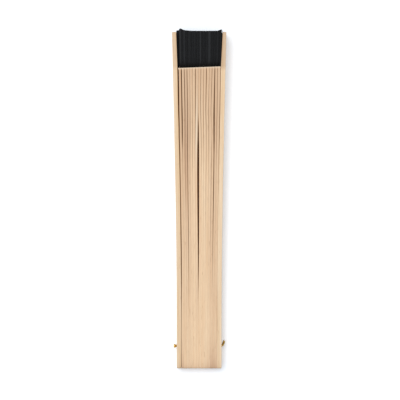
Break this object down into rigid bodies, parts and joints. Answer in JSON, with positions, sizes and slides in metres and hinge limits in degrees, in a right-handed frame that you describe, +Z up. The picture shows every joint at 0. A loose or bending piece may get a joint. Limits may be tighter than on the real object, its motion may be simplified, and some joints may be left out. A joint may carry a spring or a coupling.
{
  "type": "folding fan",
  "caption": "Closed folding hand fan: thin tapered wooden ribs between two thicker guards on a brass wire rivet, with a pleated black cloth leaf.",
  "frame": {"origin": "under the middle of the fan's box, on the surface that its lower long edges rest on", "axes": "+Y along the closed fan from the rivet to the tips, +Z up from the edge it lies on, +X along the rivet from the left guard to the right"},
  "size_m": [0.037, 0.231, 0.023],
  "materials": {
    "guard_wood": "bare, sanded",
    "rib_wood": "bare, sanded",
    "leaf_cloth": "plain weave, matt",
    "rivet_brass": "drawn wire, dull"
  },
  "bodies": {
    "guard_left": {"guard_left": "guard_wood", "leaf_panel_00": "leaf_cloth", "rivet": "rivet_brass"},
    "rib_01": {"rib_01": "rib_wood", "leaf_panel_01": "leaf_cloth"},
    "rib_02": {"rib_02": "rib_wood", "leaf_panel_02": "leaf_cloth"},
    "rib_03": {"rib_03": "rib_wood", "leaf_panel_03": "leaf_cloth"},
    "rib_04": {"rib_04": "rib_wood", "leaf_panel_04": "leaf_cloth"},
    "rib_05": {"rib_05": "rib_wood", "leaf_panel_05": "leaf_cloth"},
    "rib_06": {"rib_06": "rib_wood", "leaf_panel_06": "leaf_cloth"},
    "rib_07": {"rib_07": "rib_wood", "leaf_panel_07": "leaf_cloth"},
    "rib_08": {"rib_08": "rib_wood", "leaf_panel_08": "leaf_cloth"},
    "rib_09": {"rib_09": "rib_wood", "leaf_panel_09": "leaf_cloth"},
    "rib_10": {"rib_10": "rib_wood", "leaf_panel_10": "leaf_cloth"},
    "rib_11": {"rib_11": "rib_wood", "leaf_panel_11": "leaf_cloth"},
    "rib_12": {"rib_12": "rib_wood", "leaf_panel_12": "leaf_cloth"},
    "rib_13": {"rib_13": "rib_wood", "leaf_panel_13": "leaf_cloth"},
    "rib_14": {"rib_14": "rib_wood", "leaf_panel_14": "leaf_cloth"},
    "rib_15": {"rib_15": "rib_wood", "leaf_panel_15": "leaf_cloth"},
    "guard_right": {"guard_right": "guard_wood", "leaf_panel_16": "leaf_cloth"},
    "leaf_pleat_01": {"leaf_pleat_01": "leaf_cloth"},
    "leaf_pleat_02": {"leaf_pleat_02": "leaf_cloth"},
    "leaf_pleat_03": {"leaf_pleat_03": "leaf_cloth"},
    "leaf_pleat_04": {"leaf_pleat_04": "leaf_cloth"},
    "leaf_pleat_05": {"leaf_pleat_05": "leaf_cloth"},
    "leaf_pleat_06": {"leaf_pleat_06": "leaf_cloth"},
    "leaf_pleat_07": {"leaf_pleat_07": "leaf_cloth"},
    "leaf_pleat_08": {"leaf_pleat_08": "leaf_cloth"},
    "leaf_pleat_09": {"leaf_pleat_09": "leaf_cloth"},
    "leaf_pleat_10": {"leaf_pleat_10": "leaf_cloth"},
    "leaf_pleat_11": {"leaf_pleat_11": "leaf_cloth"},
    "leaf_pleat_12": {"leaf_pleat_12": "leaf_cloth"},
    "leaf_pleat_13": {"leaf_pleat_13": "leaf_cloth"},
    "leaf_pleat_14": {"leaf_pleat_14": "leaf_cloth"},
    "leaf_pleat_15": {"leaf_pleat_15": "leaf_cloth"},
    "leaf_pleat_16": {"leaf_pleat_16": "leaf_cloth"}
  },
  "joints": [
    {"name": "rib_01_turn", "type": "hinge", "parent": "guard_left", "child": "rib_01", "pos_m": [0, -0.09993, 0.007], "axis": [1, 0, 0], "range_deg": [0, 10.5]},
    {"name": "rib_02_turn", "type": "hinge", "parent": "rib_01", "child": "rib_02", "pos_m": [0, -0.09993, 0.007], "axis": [1, 0, 0], "range_deg": [0, 10.5]},
    {"name": "rib_03_turn", "type": "hinge", "parent": "rib_02", "child": "rib_03", "pos_m": [0, -0.09993, 0.007], "axis": [1, 0, 0], "range_deg": [0, 10.5]},
    {"name": "rib_04_turn", "type": "hinge", "parent": "rib_03", "child": "rib_04", "pos_m": [0, -0.09993, 0.007], "axis": [1, 0, 0], "range_deg": [0, 10.5]},
    {"name": "rib_05_turn", "type": "hinge", "parent": "rib_04", "child": "rib_05", "pos_m": [0, -0.09993, 0.007], "axis": [1, 0, 0], "range_deg": [0, 10.5]},
    {"name": "rib_06_turn", "type": "hinge", "parent": "rib_05", "child": "rib_06", "pos_m": [0, -0.09993, 0.007], "axis": [1, 0, 0], "range_deg": [0, 10.5]},
    {"name": "rib_07_turn", "type": "hinge", "parent": "rib_06", "child": "rib_07", "pos_m": [0, -0.09993, 0.007], "axis": [1, 0, 0], "range_deg": [0, 10.5]},
    {"name": "rib_08_turn", "type": "hinge", "parent": "rib_07", "child": "rib_08", "pos_m": [0, -0.09993, 0.007], "axis": [1, 0, 0], "range_deg": [0, 10.5]},
    {"name": "rib_09_turn", "type": "hinge", "parent": "rib_08", "child": "rib_09", "pos_m": [0, -0.09993, 0.007], "axis": [1, 0, 0], "range_deg": [0, 10.5]},
    {"name": "rib_10_turn", "type": "hinge", "parent": "rib_09", "child": "rib_10", "pos_m": [0, -0.09993, 0.007], "axis": [1, 0, 0], "range_deg": [0, 10.5]},
    {"name": "rib_11_turn", "type": "hinge", "parent": "rib_10", "child": "rib_11", "pos_m": [0, -0.09993, 0.007], "axis": [1, 0, 0], "range_deg": [0, 10.5]},
    {"name": "rib_12_turn", "type": "hinge", "parent": "rib_11", "child": "rib_12", "pos_m": [0, -0.09993, 0.007], "axis": [1, 0, 0], "range_deg": [0, 10.5]},
    {"name": "rib_13_turn", "type": "hinge", "parent": "rib_12", "child": "rib_13", "pos_m": [0, -0.09993, 0.007], "axis": [1, 0, 0], "range_deg": [0, 10.5]},
    {"name": "rib_14_turn", "type": "hinge", "parent": "rib_13", "child": "rib_14", "pos_m": [0, -0.09993, 0.007], "axis": [1, 0, 0], "range_deg": [0, 10.5]},
    {"name": "rib_15_turn", "type": "hinge", "parent": "rib_14", "child": "rib_15", "pos_m": [0, -0.09993, 0.007], "axis": [1, 0, 0], "range_deg": [0, 10.5]},
    {"name": "guard_right_turn", "type": "hinge", "parent": "rib_15", "child": "guard_right", "pos_m": [0, -0.09993, 0.007], "axis": [1, 0, 0], "range_deg": [0, 10.5]},
    {"name": "leaf_pleat_01_turn", "type": "hinge", "parent": "guard_left", "child": "leaf_pleat_01", "pos_m": [0, -0.09993, 0.007], "axis": [1, 0, 0], "range_deg": [0, 5.25]},
    {"name": "leaf_pleat_02_turn", "type": "hinge", "parent": "rib_01", "child": "leaf_pleat_02", "pos_m": [0, -0.09993, 0.007], "axis": [1, 0, 0], "range_deg": [0, 5.25]},
    {"name": "leaf_pleat_03_turn", "type": "hinge", "parent": "rib_02", "child": "leaf_pleat_03", "pos_m": [0, -0.09993, 0.007], "axis": [1, 0, 0], "range_deg": [0, 5.25]},
    {"name": "leaf_pleat_04_turn", "type": "hinge", "parent": "rib_03", "child": "leaf_pleat_04", "pos_m": [0, -0.09993, 0.007], "axis": [1, 0, 0], "range_deg": [0, 5.25]},
    {"name": "leaf_pleat_05_turn", "type": "hinge", "parent": "rib_04", "child": "leaf_pleat_05", "pos_m": [0, -0.09993, 0.007], "axis": [1, 0, 0], "range_deg": [0, 5.25]},
    {"name": "leaf_pleat_06_turn", "type": "hinge", "parent": "rib_05", "child": "leaf_pleat_06", "pos_m": [0, -0.09993, 0.007], "axis": [1, 0, 0], "range_deg": [0, 5.25]},
    {"name": "leaf_pleat_07_turn", "type": "hinge", "parent": "rib_06", "child": "leaf_pleat_07", "pos_m": [0, -0.09993, 0.007], "axis": [1, 0, 0], "range_deg": [0, 5.25]},
    {"name": "leaf_pleat_08_turn", "type": "hinge", "parent": "rib_07", "child": "leaf_pleat_08", "pos_m": [0, -0.09993, 0.007], "axis": [1, 0, 0], "range_deg": [0, 5.25]},
    {"name": "leaf_pleat_09_turn", "type": "hinge", "parent": "rib_08", "child": "leaf_pleat_09", "pos_m": [0, -0.09993, 0.007], "axis": [1, 0, 0], "range_deg": [0, 5.25]},
    {"name": "leaf_pleat_10_turn", "type": "hinge", "parent": "rib_09", "child": "leaf_pleat_10", "pos_m": [0, -0.09993, 0.007], "axis": [1, 0, 0], "range_deg": [0, 5.25]},
    {"name": "leaf_pleat_11_turn", "type": "hinge", "parent": "rib_10", "child": "leaf_pleat_11", "pos_m": [0, -0.09993, 0.007], "axis": [1, 0, 0], "range_deg": [0, 5.25]},
    {"name": "leaf_pleat_12_turn", "type": "hinge", "parent": "rib_11", "child": "leaf_pleat_12", "pos_m": [0, -0.09993, 0.007], "axis": [1, 0, 0], "range_deg": [0, 5.25]},
    {"name": "leaf_pleat_13_turn", "type": "hinge", "parent": "rib_12", "child": "leaf_pleat_13", "pos_m": [0, -0.09993, 0.007], "axis": [1, 0, 0], "range_deg": [0, 5.25]},
    {"name": "leaf_pleat_14_turn", "type": "hinge", "parent": "rib_13", "child": "leaf_pleat_14", "pos_m": [0, -0.09993, 0.007], "axis": [1, 0, 0], "range_deg": [0, 5.25]},
    {"name": "leaf_pleat_15_turn", "type": "hinge", "parent": "rib_14", "child": "leaf_pleat_15", "pos_m": [0, -0.09993, 0.007], "axis": [1, 0, 0], "range_deg": [0, 5.25]},
    {"name": "leaf_pleat_16_turn", "type": "hinge", "parent": "rib_15", "child": "leaf_pleat_16", "pos_m": [0, -0.09993, 0.007], "axis": [1, 0, 0], "range_deg": [0, 5.25]}
  ],
  "couplings": [
    {"joint": "rib_02_turn", "follows": "rib_01_turn", "ratio": 1},
    {"joint": "rib_03_turn", "follows": "rib_01_turn", "ratio": 1},
    {"joint": "rib_04_turn", "follows": "rib_01_turn", "ratio": 1},
    {"joint": "rib_05_turn", "follows": "rib_01_turn", "ratio": 1},
    {"joint": "rib_06_turn", "follows": "rib_01_turn", "ratio": 1},
    {"joint": "rib_07_turn", "follows": "rib_01_turn", "ratio": 1},
    {"joint": "rib_08_turn", "follows": "rib_01_turn", "ratio": 1},
    {"joint": "rib_09_turn", "follows": "rib_01_turn", "ratio": 1},
    {"joint": "rib_10_turn", "follows": "rib_01_turn", "ratio": 1},
    {"joint": "rib_11_turn", "follows": "rib_01_turn", "ratio": 1},
    {"joint": "rib_12_turn", "follows": "rib_01_turn", "ratio": 1},
    {"joint": "rib_13_turn", "follows": "rib_01_turn", "ratio": 1},
    {"joint": "rib_14_turn", "follows": "rib_01_turn", "ratio": 1},
    {"joint": "rib_15_turn", "follows": "rib_01_turn", "ratio": 1},
    {"joint": "guard_right_turn", "follows": "rib_01_turn", "ratio": 1},
    {"joint": "leaf_pleat_01_turn", "follows": "rib_01_turn", "ratio": 0.5},
    {"joint": "leaf_pleat_02_turn", "follows": "rib_01_turn", "ratio": 0.5},
    {"joint": "leaf_pleat_03_turn", "follows": "rib_01_turn", "ratio": 0.5},
    {"joint": "leaf_pleat_04_turn", "follows": "rib_01_turn", "ratio": 0.5},
    {"joint": "leaf_pleat_05_turn", "follows": "rib_01_turn", "ratio": 0.5},
    {"joint": "leaf_pleat_06_turn", "follows": "rib_01_turn", "ratio": 0.5},
    {"joint": "leaf_pleat_07_turn", "follows": "rib_01_turn", "ratio": 0.5},
    {"joint": "leaf_pleat_08_turn", "follows": "rib_01_turn", "ratio": 0.5},
    {"joint": "leaf_pleat_09_turn", "follows": "rib_01_turn", "ratio": 0.5},
    {"joint": "leaf_pleat_10_turn", "follows": "rib_01_turn", "ratio": 0.5},
    {"joint": "leaf_pleat_11_turn", "follows": "rib_01_turn", "ratio": 0.5},
    {"joint": "leaf_pleat_12_turn", "follows": "rib_01_turn", "ratio": 0.5},
    {"joint": "leaf_pleat_13_turn", "follows": "rib_01_turn", "ratio": 0.5},
    {"joint": "leaf_pleat_14_turn", "follows": "rib_01_turn", "ratio": 0.5},
    {"joint": "leaf_pleat_15_turn", "follows": "rib_01_turn", "ratio": 0.5},
    {"joint": "leaf_pleat_16_turn", "follows": "rib_01_turn", "ratio": 0.5}
  ]
}
